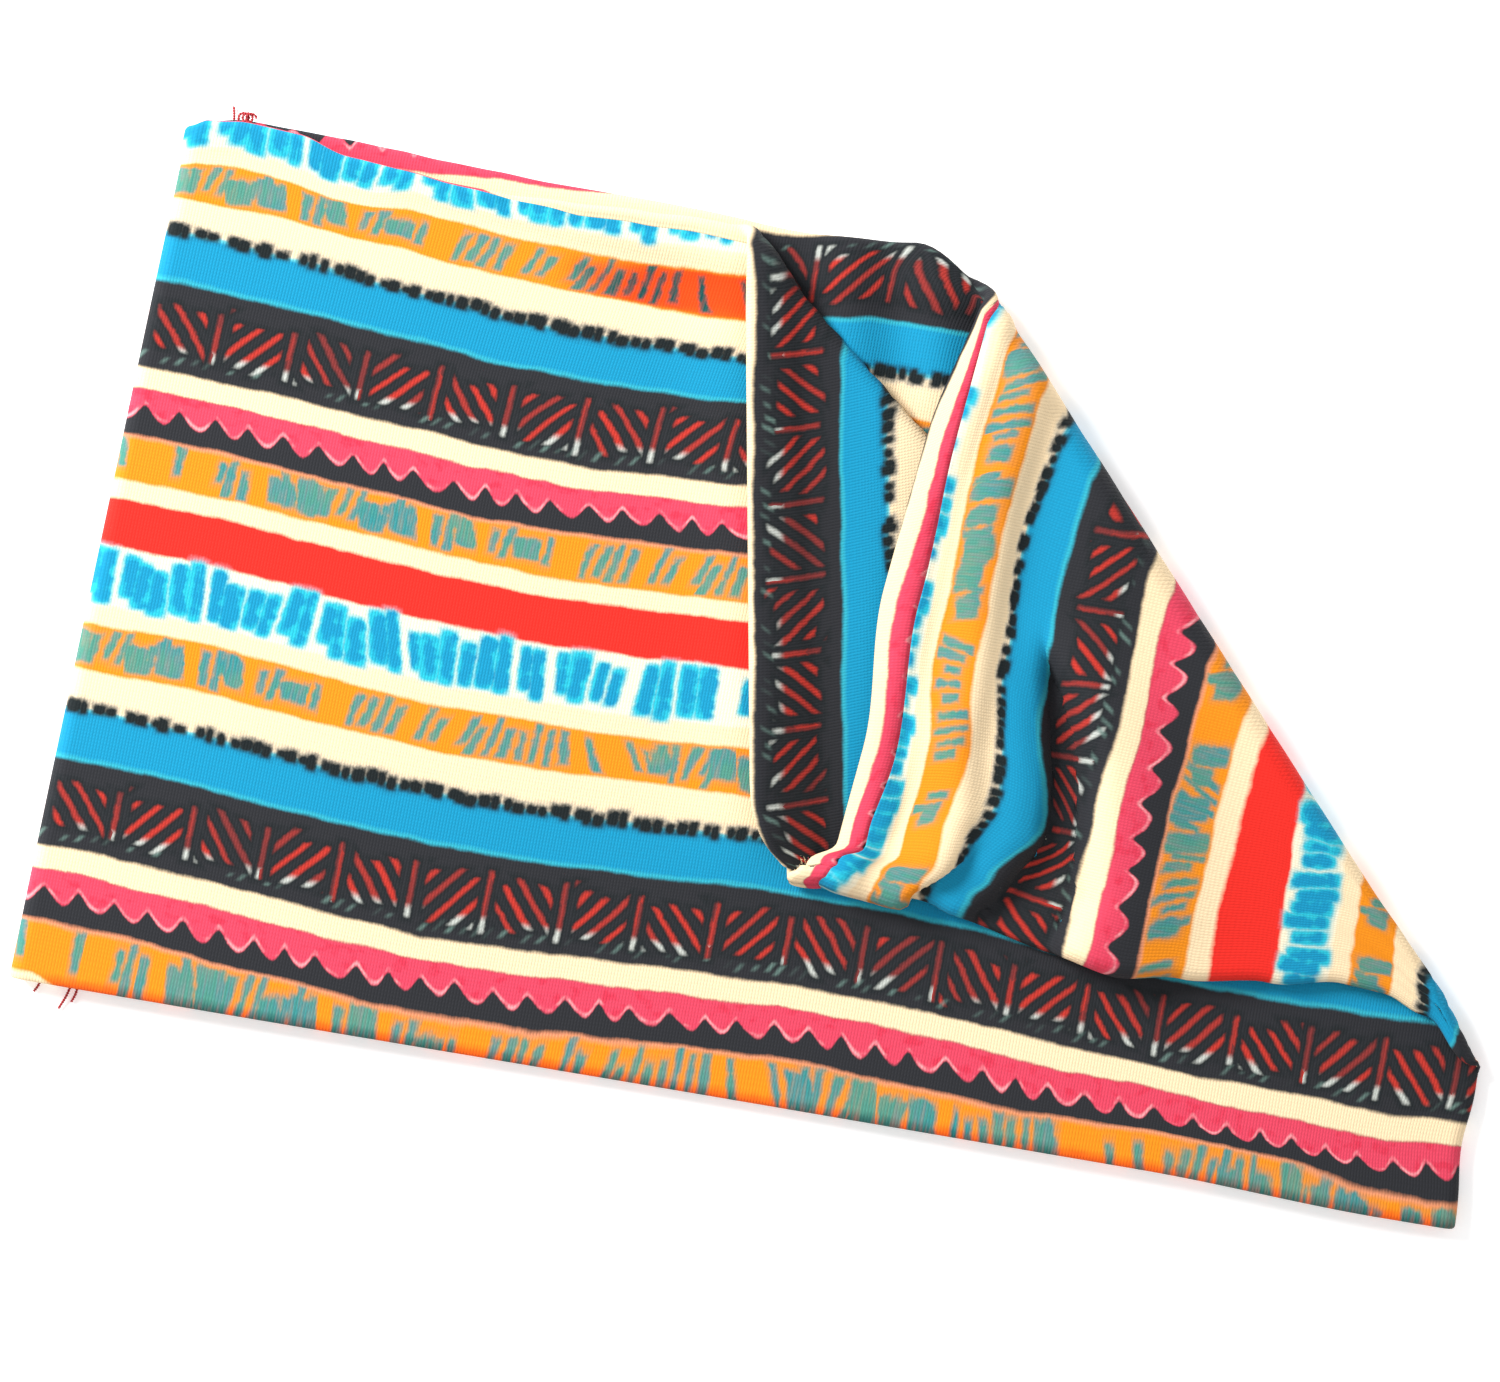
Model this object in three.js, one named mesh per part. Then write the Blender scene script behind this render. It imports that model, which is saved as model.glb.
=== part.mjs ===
// Neck gaiter: a double-layer tube of printed jersey, lying flat, with the upper right corner of the
// tube folded down over its front. The tube is open along its lower edge, where the cloth is simply
// folded from shell to lining, and along its upper edge, where shell and lining are sewn together.
//
// Every flat stretch of the cloth is a thin plate, and every place where the cloth turns over is a
// narrow strip that joins two plates. Shell and lining are separate all the way round.
//
// Frame: X runs along the hem, Y from the hem to the rim, Z up from the surface it lies on. The origin
// is the centre of the whole gaiter's box, at that surface.

import * as THREE from "three";

// ---------------------------------------------------------------------------------------------
// Driving dimensions, in millimetres and degrees
// ---------------------------------------------------------------------------------------------

const FLAT_WIDTH = 300;           // half of the tube's circumference
const TUBE_HEIGHT = 180;          // hem to rim
const LEFT_LEAN = 7;              // how far the left side fold leans in at the rim
const CLOTH = 0.6;                // one layer of jersey
const PLY_AIR = 1.0;              // air between the shell and the lining of one wall
const HOLLOW = 4.4;               // air between two walls of the tube
const CLEARANCE = 0.3;            // between neighbouring solids

const PIVOT = new THREE.Vector2(298.6, 34);   // where both corner folds start, on the right side
const BACK_FOLD_ANGLE = 132.1;    // direction of the back wall's fold from the pivot
const BACK_FOLD_LENGTH = 186.9;
const FRONT_FOLD_ANGLE = 141.15;  // direction of the front wall's fold from the pivot
const FRONT_FOLD_LENGTH = 225.6;
const TUCKED_LENGTH = 113.6;      // straight stretch of the turned rim, before it tucks in
const TUCKED_ANGLE = -79.9;       // direction of that stretch

const SEAM_WIDTH = 3;             // overlocked edge, seen from the side it lies on
const SEAM_THICKNESS = 0.4;
const RIM_SEAM_DEPTH = 2.5;       // rim to the nearer side of its seam
const CLOSING_SEAM_SETBACK = 8.5; // left side fold to the nearer side of the closing seam

const THREAD_RADIUS = 0.2;
const THREAD_SIDES = 8;
const THREAD_STEPS = 8;
const THREAD_Z = 0.6;             // height of the loose thread ends
const CURL_RADIUS = 0.9;          // the curled thread end
const CURL_TURNS = 2.5;
const CURL_RISE = 0.5;            // how far each turn of the curl lies above the last

// ---------------------------------------------------------------------------------------------
// Heights: four walls on top of each other, each a shell ply and a lining ply
// ---------------------------------------------------------------------------------------------

const WALL = 2 * CLOTH + PLY_AIR;
const BACK_Z = 0;
const FRONT_Z = BACK_Z + WALL + HOLLOW;
const TURNED_Z = FRONT_Z + WALL + CLEARANCE;
const FLAP_Z = TURNED_Z + WALL + HOLLOW;

const PLY_STEP = CLOTH + PLY_AIR;             // from one ply to the other
const OUTER_INSET = CLOTH + CLEARANCE;        // a plate's distance from an edge with one strip
const INNER_INSET = PLY_STEP + CLOTH + CLEARANCE;   // and from an edge with two strips

// ---------------------------------------------------------------------------------------------
// Corners and edges of the laid cloth. Each edge has the cloth on its left.
// ---------------------------------------------------------------------------------------------

const along = (from, angle, length) => new THREE.Vector2(
  from.x + length * Math.cos(THREE.MathUtils.degToRad(angle)),
  from.y + length * Math.sin(THREE.MathUtils.degToRad(angle)),
);

const hemLeft = new THREE.Vector2(0, 0);
const hemRight = new THREE.Vector2(FLAT_WIDTH, 0);
const rimLeft = new THREE.Vector2(LEFT_LEAN, TUBE_HEIGHT);
const rimRight = new THREE.Vector2(FLAT_WIDTH, TUBE_HEIGHT);
const backFoldTop = along(PIVOT, BACK_FOLD_ANGLE, BACK_FOLD_LENGTH);
const frontFoldTop = along(PIVOT, FRONT_FOLD_ANGLE, FRONT_FOLD_LENGTH);
const tuckCorner = along(frontFoldTop, TUCKED_ANGLE, TUCKED_LENGTH);
const backRimShoulder = new THREE.Vector2(165, TUBE_HEIGHT - 1.4);
const backRimBend = new THREE.Vector2(148, TUBE_HEIGHT);
const flapRimBow = new THREE.Vector2(163.4, 113);

// The tube's upper right corner, folded over: its mirror image in the back wall's fold.
const cornerAngle = THREE.MathUtils.radToDeg(rimRight.clone().sub(PIVOT).angle());
const tip = along(PIVOT, 2 * BACK_FOLD_ANGLE - cornerAngle, rimRight.distanceTo(PIVOT));

const leftSide = [rimLeft, hemLeft];
const rightSide = [hemRight, PIVOT];
const backFold = [PIVOT, backFoldTop];
const frontFold = [PIVOT, frontFoldTop];
const flapSide = [tip, PIVOT];
const hem = [hemLeft, hemRight];

// ---------------------------------------------------------------------------------------------
// Outlines of plates and strips
// ---------------------------------------------------------------------------------------------

// The part of an outline that lies at least `inset` to the left of the line from a to b.
function clip(outline, [a, b], inset) {
  const normal = new THREE.Vector2(a.y - b.y, b.x - a.x).normalize();
  const height = (point) => point.clone().sub(a).dot(normal) - inset;
  const kept = [];
  outline.forEach((point, index) => {
    const next = outline[(index + 1) % outline.length];
    const here = height(point);
    const there = height(next);
    if (here >= 0) kept.push(point);
    if (here * there < 0) kept.push(point.clone().lerp(next, here / (here - there)));
  });
  return kept;
}

function clipAll(outline, edges, inset) {
  return edges.reduce((shape, edge) => clip(shape, edge, inset), outline);
}

// The edges of a line with bends, one pair of points each.
function edgesOf(path) {
  return path.slice(1).map((point, index) => [path[index], point]);
}

// A strip on the left of a line with bends, between two insets, mitred at each bend.
function strip(path, near, far) {
  const directions = edgesOf(path).map(([a, b]) => b.clone().sub(a).normalize());
  const offset = (distance) => path.map((point, index) => {
    const before = directions[Math.max(index - 1, 0)];
    const after = directions[Math.min(index, directions.length - 1)];
    const middle = before.clone().add(after).normalize();
    const normal = new THREE.Vector2(-middle.y, middle.x);
    return point.clone().addScaledVector(normal, distance / middle.dot(before));
  });
  return [...offset(near), ...offset(far).reverse()];
}

// ---------------------------------------------------------------------------------------------
// Materials and solids
// ---------------------------------------------------------------------------------------------

const shellCloth = new THREE.MeshStandardMaterial({ color: 0xe08a4a, roughness: 0.85, metalness: 0 });
const liningCloth = new THREE.MeshStandardMaterial({ color: 0x2a8fb5, roughness: 0.85, metalness: 0 });
const seamThread = new THREE.MeshStandardMaterial({ color: 0xb3242c, roughness: 0.7, metalness: 0 });

const gaiter = new THREE.Group();

function addSlab(name, material, outline, lowZ, highZ) {
  const shape = new THREE.Shape(outline);
  const geometry = new THREE.ExtrudeGeometry(shape, { depth: highZ - lowZ, bevelEnabled: false });
  const slab = new THREE.Mesh(geometry, material);
  slab.name = name;
  slab.position.z = lowZ;
  gaiter.add(slab);
}

// ---------------------------------------------------------------------------------------------
// The four walls. At `shellSides` the cloth turns over with its shell outside, and at `liningSides`
// with its lining outside. `passedBy` are the folds of other walls that a wall stays inside, and
// `rim` is the sewn edge.
// ---------------------------------------------------------------------------------------------

const walls = {
  back: {
    z: BACK_Z,
    shellBelow: true,
    outline: [hemLeft, hemRight, PIVOT, backFoldTop, backRimShoulder, backRimBend, rimLeft],
    shellSides: [leftSide, rightSide, backFold],
    liningSides: [],
    passedBy: [],
    hem: true,
    rim: [backFoldTop, backRimShoulder, backRimBend, rimLeft],
  },
  front: {
    z: FRONT_Z,
    shellBelow: false,
    outline: [hemLeft, hemRight, PIVOT, frontFoldTop, rimLeft],
    shellSides: [leftSide, rightSide],
    liningSides: [frontFold],
    passedBy: [backFold],
    hem: true,
    rim: [frontFoldTop, rimLeft],
  },
  turned_front: {
    z: TURNED_Z,
    shellBelow: true,
    outline: [tip, PIVOT, frontFoldTop, tuckCorner],
    shellSides: [flapSide],
    liningSides: [frontFold],
    passedBy: [backFold],
    hem: false,
    rim: [frontFoldTop, tuckCorner, tip],
  },
  flap: {
    z: FLAP_Z,
    shellBelow: false,
    outline: [tip, PIVOT, backFoldTop, flapRimBow],
    shellSides: [flapSide, backFold],
    liningSides: [],
    passedBy: [],
    hem: false,
    rim: [backFoldTop, flapRimBow, tip],
  },
};

function sidesOf(wall) {
  return [...wall.shellSides, ...wall.liningSides, ...wall.passedBy];
}

function finishedEdges(wall) {
  const edges = edgesOf(wall.rim);
  return wall.hem ? [...edges, hem] : edges;
}

// One ply of a wall, set back from each side by where its own strip stands there.
function plyOutline(wall, shellSideInset, liningSideInset) {
  const fromShellSides = clipAll(wall.outline, wall.shellSides, shellSideInset);
  const fromLiningSides = clipAll(fromShellSides, wall.liningSides, liningSideInset);
  const fromSides = clipAll(fromLiningSides, wall.passedBy, INNER_INSET);
  return clipAll(fromSides, finishedEdges(wall), OUTER_INSET);
}

function addWall(name, wall) {
  const shell = plyOutline(wall, OUTER_INSET, INNER_INSET);
  const lining = plyOutline(wall, INNER_INSET, OUTER_INSET);
  const shellZ = wall.shellBelow ? wall.z : wall.z + PLY_STEP;
  const liningZ = wall.shellBelow ? wall.z + PLY_STEP : wall.z;
  addSlab(`shell_${name}`, shellCloth, shell, shellZ, shellZ + CLOTH);
  addSlab(`lining_${name}`, liningCloth, lining, liningZ, liningZ + CLOTH);
}

// A strip that closes a wall's shell onto its lining, along its hem or its rim.
function addFinishedEdge(name, wall, path) {
  const outline = clipAll(strip(path, 0, CLOTH), sidesOf(wall), INNER_INSET);
  addSlab(name, shellCloth, outline, wall.z, wall.z + WALL);
}

// Two strips that join a wall to the wall above it, one for the outer ply and one for the inner.
function addSideFold(name, edge, lower, upper, outerPly, crossing) {
  const finished = [...finishedEdges(lower), ...finishedEdges(upper)];
  const trim = (outline) => clipAll(clipAll(outline, finished, OUTER_INSET), crossing, INNER_INSET);
  const outer = trim(strip(edge, 0, CLOTH));
  const inner = trim(strip(edge, PLY_STEP, PLY_STEP + CLOTH));
  const lowZ = lower.z;
  const highZ = upper.z + WALL;
  const innerPly = outerPly === "shell" ? "lining" : "shell";
  const cloth = { shell: shellCloth, lining: liningCloth };
  addSlab(`${outerPly}_${name}`, cloth[outerPly], outer, lowZ, highZ);
  addSlab(`${innerPly}_${name}`, cloth[innerPly], inner, lowZ + PLY_STEP, highZ - PLY_STEP);
}

// The overlocked edges inside the wall, between its two plies.
function addSeam(name, wall, outline) {
  const z = wall.z + CLOTH + CLEARANCE;
  addSlab(name, seamThread, outline, z, z + SEAM_THICKNESS);
}

function addRimSeam(name, wall) {
  const band = strip(wall.rim, RIM_SEAM_DEPTH, RIM_SEAM_DEPTH + SEAM_WIDTH);
  addSeam(name, wall, clipAll(band, sidesOf(wall), INNER_INSET));
}

function addClosingSeam(wall) {
  const band = strip(leftSide, CLOSING_SEAM_SETBACK, CLOSING_SEAM_SETBACK + SEAM_WIDTH);
  const belowRimSeam = clipAll(band, edgesOf(wall.rim), RIM_SEAM_DEPTH + SEAM_WIDTH + CLEARANCE);
  addSeam("closing_seam", wall, clip(belowRimSeam, hem, OUTER_INSET));
}

// ---------------------------------------------------------------------------------------------
// Thread ends left at the two ends of the closing seam
// ---------------------------------------------------------------------------------------------

function addThread(name, points, steps) {
  const section = new THREE.Shape();
  section.absarc(0, 0, THREAD_RADIUS, 0, 2 * Math.PI);
  const geometry = new THREE.ExtrudeGeometry(section, {
    steps,
    curveSegments: THREAD_SIDES,
    extrudePath: new THREE.CatmullRomCurve3(points),
  });
  const thread = new THREE.Mesh(geometry, seamThread);
  thread.name = name;
  gaiter.add(thread);
}

// A slightly bowed thread end from (x, y), leaning by (dx, dy).
function addStraightThread(name, x, y, dx, dy) {
  const bow = 0.1;
  addThread(name, [
    new THREE.Vector3(x, y, THREAD_Z),
    new THREE.Vector3(x + dx * 0.5 - dy * bow, y + dy * 0.5 + dx * bow, THREAD_Z),
    new THREE.Vector3(x + dx, y + dy, THREAD_Z),
  ], THREAD_STEPS);
}

function addCurledThread(name, x, y) {
  const points = [new THREE.Vector3(x - CURL_RADIUS, y - CURL_RADIUS, THREAD_Z)];
  const pointsPerTurn = 8;
  for (let step = 0; step <= CURL_TURNS * pointsPerTurn; step += 1) {
    const turn = step / pointsPerTurn;
    const angle = Math.PI - 2 * Math.PI * turn;
    points.push(new THREE.Vector3(
      x + turn * CURL_RADIUS * 0.9 + CURL_RADIUS * Math.cos(angle),
      y + CURL_RADIUS * Math.sin(angle),
      THREAD_Z + turn * CURL_RISE,
    ));
  }
  addThread(name, points, CURL_TURNS * pointsPerTurn * 2);
}

// ---------------------------------------------------------------------------------------------
// The gaiter
// ---------------------------------------------------------------------------------------------

for (const [name, wall] of Object.entries(walls)) addWall(name, wall);

addSideFold("left_side", leftSide, walls.back, walls.front, "shell", []);
addSideFold("right_side", rightSide, walls.back, walls.front, "shell", [backFold]);
addSideFold("back_fold", backFold, walls.back, walls.flap, "shell", []);
addSideFold("front_fold", frontFold, walls.front, walls.turned_front, "lining", [backFold, flapSide]);
addSideFold("flap_side", flapSide, walls.turned_front, walls.flap, "shell", [backFold]);

addFinishedEdge("hem_back", walls.back, hem);
addFinishedEdge("hem_front", walls.front, hem);
addFinishedEdge("rim_back", walls.back, walls.back.rim);
addFinishedEdge("rim_front", walls.front, walls.front.rim);
addFinishedEdge("rim_turned_front", walls.turned_front, walls.turned_front.rim);
addFinishedEdge("rim_flap", walls.flap, walls.flap.rim);

addRimSeam("rim_seam_back", walls.back);
addRimSeam("rim_seam_front", walls.front);
addRimSeam("rim_seam_turned_front", walls.turned_front);
addRimSeam("rim_seam_flap", walls.flap);
addClosingSeam(walls.back);

const hemThreadY = -CLEARANCE - THREAD_RADIUS;
const rimThreadY = TUBE_HEIGHT + CLEARANCE + THREAD_RADIUS;
addStraightThread("thread_hem_corner", 5.2, hemThreadY, -1.0, -1.7);
addStraightThread("thread_hem_long", 11.6, hemThreadY, -1.8, -4.4);
addStraightThread("thread_hem_short", 13.0, hemThreadY, -0.8, -2.6);
addStraightThread("thread_rim_long", 15.0, rimThreadY, -0.5, 4.0);
addCurledThread("thread_rim_curl", 17.2, rimThreadY + CURL_RADIUS);

// The origin is under the middle of the gaiter's box.
const box = new THREE.Box3().setFromObject(gaiter);
const middle = box.getCenter(new THREE.Vector3());
gaiter.position.set(-middle.x, -middle.y, -box.min.z);

export default gaiter;
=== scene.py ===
"""A double-layer neck gaiter of printed jersey, laid flat with one upper corner of the tube folded down."""

import math
from typing import NamedTuple

import bpy
import numpy as np
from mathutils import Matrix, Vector


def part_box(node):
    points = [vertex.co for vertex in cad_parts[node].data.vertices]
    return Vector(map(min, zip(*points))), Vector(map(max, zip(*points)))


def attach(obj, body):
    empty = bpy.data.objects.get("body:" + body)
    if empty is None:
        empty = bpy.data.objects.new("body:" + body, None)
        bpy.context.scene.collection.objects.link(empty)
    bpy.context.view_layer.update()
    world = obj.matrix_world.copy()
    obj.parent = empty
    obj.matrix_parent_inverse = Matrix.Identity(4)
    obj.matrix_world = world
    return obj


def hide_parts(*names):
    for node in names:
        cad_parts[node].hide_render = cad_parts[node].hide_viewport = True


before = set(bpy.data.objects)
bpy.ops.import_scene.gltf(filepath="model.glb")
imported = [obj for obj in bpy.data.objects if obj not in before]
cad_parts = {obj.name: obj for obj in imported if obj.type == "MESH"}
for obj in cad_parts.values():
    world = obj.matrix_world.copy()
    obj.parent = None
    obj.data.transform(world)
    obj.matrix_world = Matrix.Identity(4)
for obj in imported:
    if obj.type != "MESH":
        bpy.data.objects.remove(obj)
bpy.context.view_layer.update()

# ---- Sizes in millimetres. X runs along the hem from its left end, Y up to the rim.

MM = 0.001
ORIGIN = np.array([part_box("shell_left_side")[0].x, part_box("hem_front")[0].y, 0.0]) / MM

WIDTH = 300.0  # one wall of the tube, between its side folds
GIRTH = 2 * WIDTH
HEIGHT = 180.0  # hem to rim
LEFT_LEAN = 7.0  # the left side fold leans in by this much at the rim
SIDE_RADIUS = 2.2  # of the two side folds
SIDE_CLOSING = 4.0  # the walls meet over this distance from a side fold

PIVOT = np.array([298.6, 34.0])  # both corner folds start here, on the right side
BACK_FOLD_ANGLE = math.radians(132.1)
FRONT_FOLD_ANGLE = math.radians(141.15)
BACK_FOLD_RADIUS = 3.2
FRONT_FOLD_RADIUS = 1.8
TIGHTEST_FOLD = 1.4  # the folds' radius at the pivot, and how fast it grows from there
FOLD_WIDENING = 0.1

HALF_WALL = 0.9  # half the thickness of a wall of two plies
HALF_RIM = 1.5  # the same at the rim, where the seam allowances lie inside
PLY = 0.45
SEAM_COLUMN = GIRTH - 10  # the closing seam, on the back wall near the left side fold

GRID = 1.3  # spacing of the mesh
EDGE_GRID = 0.55  # and near the side folds
EDGE_ZONE = 6.0
RIM_GRID = 0.4  # and near the rim
ROUND_STEPS = 5
ROLL_STEPS = 6  # from the top of the rim down to the seam

# ---- Small helpers


def smooth(x):
    """0 below 0, 1 above 1, and an even ramp between."""
    x = np.clip(x, 0.0, 1.0)
    return x * x * (3 - 2 * x)


def rise_after(x, start, length):
    """0 up to `start`, and 1 from `length` past it."""
    return smooth((x - start) / length)


def fall_before(x, end, length):
    """1 until `length` before `end`, and 0 from there on."""
    return smooth((end - x) / length)


def mound(distance, width):
    """1 in the middle, falling away on both sides."""
    return np.exp(-((distance / width) ** 2))


def crest(distance, width_before, width_after):
    """A ridge with a different slope on each side of its top."""
    return mound(distance, np.where(distance < 0, width_before, width_after))


def blend(a, b, share):
    return a * (1 - share) + b * share


def higher_of(a, b, rounding):
    """The higher of two heights, with the crease between them rounded."""
    return (a + b + np.sqrt((a - b) ** 2 + rounding**2)) / 2


def net(rows, columns, values, row, across):
    """A value from a small net, given where its rows and columns are."""
    values = np.array(values, float)
    at_row = np.interp(row, rows, np.arange(len(rows)))
    at_column = np.interp(across, columns, np.arange(len(columns)))
    low = np.clip(np.floor(at_row).astype(int), 0, len(rows) - 2)
    left = np.clip(np.floor(at_column).astype(int), 0, len(columns) - 2)
    row_part = smooth(at_row - low)[..., None]
    column_part = smooth(at_column - left)[..., None]
    lower = blend(values[low, left], values[low, left + 1], column_part)
    upper = blend(values[low + 1, left], values[low + 1, left + 1], column_part)
    return blend(lower, upper, row_part)


def eased_line(x, places, values):
    """A smooth line through a few values."""
    places, values = np.array(places, float), np.array(values, float)
    at = np.interp(x, places, np.arange(len(places)))
    low = np.clip(np.floor(at).astype(int), 0, len(places) - 2)
    return blend(values[low], values[low + 1], smooth(at - low))


# ---- Heights of the middle of each wall, over the surface it lies on

BACK_LIFT = 1.15
RIM_LIFT = 0.5
MOUTH_RIPPLE = 0.9
AIR_LIFT = 4.8  # the front wall where the tube is free, and where the folded corner presses on it
PRESSED_LIFT = 3.3
TURNED_LIFT = 2.0  # the turned part of the front wall, over the front wall


def back_height(x, y):
    """The back wall lies on the surface, with a thicker rim and a few ripples in the mouth."""
    in_mouth = rise_after(x, 128, 18) * rise_after(y, 132, 20)
    ripples = MOUTH_RIPPLE * (1 + np.sin(x / 3.1 + y / 15)) * in_mouth
    return BACK_LIFT + RIM_LIFT * rise_after(y, HEIGHT - 16, 8) + ripples


def front_height(x, y):
    """The front wall: raised by the air in the tube, pressed down under the folded corner."""
    across_fold = (PIVOT[0] - x) * math.sin(FRONT_FOLD_ANGLE)
    from_fold = across_fold + (y - PIVOT[1]) * math.cos(FRONT_FOLD_ANGLE)
    free = AIR_LIFT + 0.6 * np.sin(x / 31 + y / 60) + 0.4 * np.sin(y / 23 - x / 80)
    under_corner = fall_before(from_fold, 42, 50)
    valley = 1.7 * mound(x - 112, 18) * mound(y - 163, 6)
    beside_rim = 1.5 * front_rim_roll(x, y, 11)
    return blend(free, PRESSED_LIFT, under_corner) - valley + beside_rim


def front_rim_roll(x, y, width):
    """1 along the rim of the front wall's turned part, falling away on both sides."""
    foot_x, foot_y, slant = 143.3, 61.7, -0.179
    rim_x = foot_x + slant * (y - foot_y)
    return mound(x - rim_x, width) * rise_after(y, 38, 20) * fall_before(y, 186, 20)


def turned_height(x, y):
    """The turned part of the front wall, on top of it."""
    roll = 3.4 + 2.8 * fall_before(y, 110, 45)  # higher towards the lower end
    return front_height(x, y) + TURNED_LIFT + roll * front_rim_roll(x, y, 10)


# Lines along the folded corner: its main ridge, its rim, and the two sides of its valley.
RIDGE_Y = [45, 66, 80, 131, 160, 180]
RIDGE_X = [180, 185, 183, 183, 186.5, 188]
RIM_Y = [46, 49, 61, 82, 123, 172]
RIM_X = [160, 163, 168, 168, 169, 178]
VALLEY_Y = [40, 44, 53, 63, 72, 81, 96, 104]
VALLEY_LEFT = [190, 190, 197, 202.5, 202.5, 201, 197, 196]
VALLEY_RIGHT = [211, 211.5, 214, 212.6, 211.5, 210, 204, 198]


def flap_height(x, y, rise):
    """The turned part of the back wall, with its ridges and the valley between its bulges."""
    reach = np.hypot(x - PIVOT[0], y - PIVOT[1])
    from_ridge = x - np.interp(y, RIDGE_Y, RIDGE_X)
    ridge = 4.6 * crest(from_ridge, 10, 5) * rise_after(y, 44, 14) * fall_before(y, 176, 20)
    rim = 3.4 * crest(x - np.interp(y, RIM_Y, RIM_X), 5, 5.5) * fall_before(y, 178, 12)
    right_rise = 1.6 * crest(from_ridge - 22, 12, 14) * rise_after(y, 80, 25)
    from_left = x - np.interp(y, VALLEY_Y, VALLEY_LEFT)
    from_right = x - np.interp(y, VALLEY_Y, VALLEY_RIGHT)
    deep = fall_before(y, 112, 26)
    bulge = deep * (4.6 * crest(from_right - 5, 6, 16) + 2.6 * crest(from_left + 6, 12, 6))
    valley = 8.0 * deep * rise_after(from_left, -1.5, 5) * (1 - rise_after(from_right, -3.5, 4))
    at_tip = rise_after(y, 152, 20)
    base = 5.8 + 4.2 * smooth(reach / 75) - 3.2 * at_tip
    floor = 5.2 + 2.3 * smooth(reach / 25) - 3.0 * at_tip
    height = base + higher_of(ridge, rim, 1.4) + bulge + right_rise - valley
    return np.maximum(height + rise, floor)


# ---- The walls in plan


def fold_over(point, angle, radius):
    """Folds points over a line from the pivot. Returns where they lie, how far over they are, 0 to 1, and
    how far beyond the line they were."""
    along = np.array([math.cos(angle), math.sin(angle)])
    inward = np.array([-along[1], along[0]])
    from_pivot = point - PIVOT
    run = from_pivot @ along
    beyond = -(from_pivot @ inward)
    radius = np.clip(radius, TIGHTEST_FOLD, TIGHTEST_FOLD + FOLD_WIDENING * np.maximum(run, 0))
    turn = np.clip(beyond / radius, -1, 1) * math.pi / 2
    depth = np.where(np.abs(beyond) < radius, radius * (1 - np.cos(turn)), np.abs(beyond))
    place = PIVOT + run[..., None] * along + depth[..., None] * inward
    return place, (1 + np.sin(turn)) / 2, beyond


def flat_point(across, up):
    """The tube before the corner is folded. Its lower right corner droops, and is drawn in above the hem."""
    lean = LEFT_LEAN * (up / HEIGHT) * (1 - across / WIDTH)
    droop = 1.5 * rise_after(across, 235, 50) * fall_before(up, 24, 24)
    waist = 1.4 * rise_after(across, 262, 34) * mound(up - 16, 8)
    return np.stack([across + lean - waist, up - droop], axis=-1)


# How far the folded corner lies from a plain mirror image: rows from the pivot to the rim, and in each
# row from the fold to the side of the tube.
FLAP_ROWS = [34, 50, 60, 68, 85, 98, 112, 124, 141, 150, 157, 172, 180]
FLAP_COLUMNS = [0, 0.25, 0.5, 0.75, 0.9, 0.97, 0.99, 1]
FLAP_DRIFT = [
    [(0, 0)] * len(FLAP_COLUMNS),
    [(0, 0), (1.6, 2.4), (2.6, 4), (3.6, 6), (4.1, 7), (4.3, 7.5), (4.4, 7.6), (4.4, 7.6)],
    [(0, 0), (2.2, 3.2), (3.2, 5.2), (4.3, 7.7), (4.9, 9), (5.3, 9.5), (5.4, 9.6), (5.4, 9.7)],
    [(0, 0), (2, 3), (3, 5), (4, 7.5), (4.6, 8.8), (4.9, 9.3), (5, 9.4), (5, 9.5)],
    [(0, 0), (1.5, 1), (3, 2.5), (4.5, 4), (5.5, 5), (5.9, 5.4), (6, 5.5), (6, 5.5)],
    [(0, 0), (0, 0), (0, 1), (0.5, 1.5), (1.1, 1.8), (1.4, 2), (1.5, 2), (1.5, 2)],
    [(0, 0), (0, -0.2), (0, 0.5), (0.7, 0.5), (0.9, -0.2), (1, -1), (1, -1.1), (1, -1.2)],
    [(0, 0), (0, -0.5), (0, 0), (1, 0), (0.7, 0), (0.5, 0), (0.5, 0), (0.5, 0)],
    [(0, 0), (-1, -1.5), (1, -1.5), (7.5, -1), (0.7, 0.9), (-2.2, 2.1), (-2.8, 2.3), (-3, 2.4)],
    [(0, 0), (-2, 0), (1, 0), (7, 0), (2.1, 2.2), (0, 3.1), (-0.4, 3.3), (-0.5, 3.4)],
    [(0, 0), (0, -0.5), (2.5, -0.5), (6.5, -0.5), (4.6, 1.3), (2.6, 2.9), (2.2, 3.2), (2, 3.3)],
    [(2, -2.5), (1.7, -2.5), (3, -2.5), (6.4, -3.1), (5.3, -1.9), (1.6, 2), (0.5, 2.9), (-1.7, 3.7)],
    [(6.6, -7.3), (3, -6), (3, -5), (7.6, -4.5), (7.5, -3.9), (2.8, -0.4), (1.8, 1.6), (-0.8, 2.8)],
]
CORNER_PULL = np.array([6.6, -7.3])  # the fold's upper end is pulled in along the fold
CREASE_START = np.array([193.0, 62.0])  # a small pleat across the lower end of the folded corner
CREASE_END = np.array([177.0, 48.0])


def turned_part(across, up):
    """How far a point of the back wall is from its fold towards the side of the tube, 0 to 1."""
    x = flat_point(across, up)[..., 0]
    fold_x = PIVOT[0] + (up - PIVOT[1]) / math.tan(BACK_FOLD_ANGLE)
    return np.clip((x - fold_x) / np.maximum(WIDTH - fold_x, 1), 0, 1)


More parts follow.
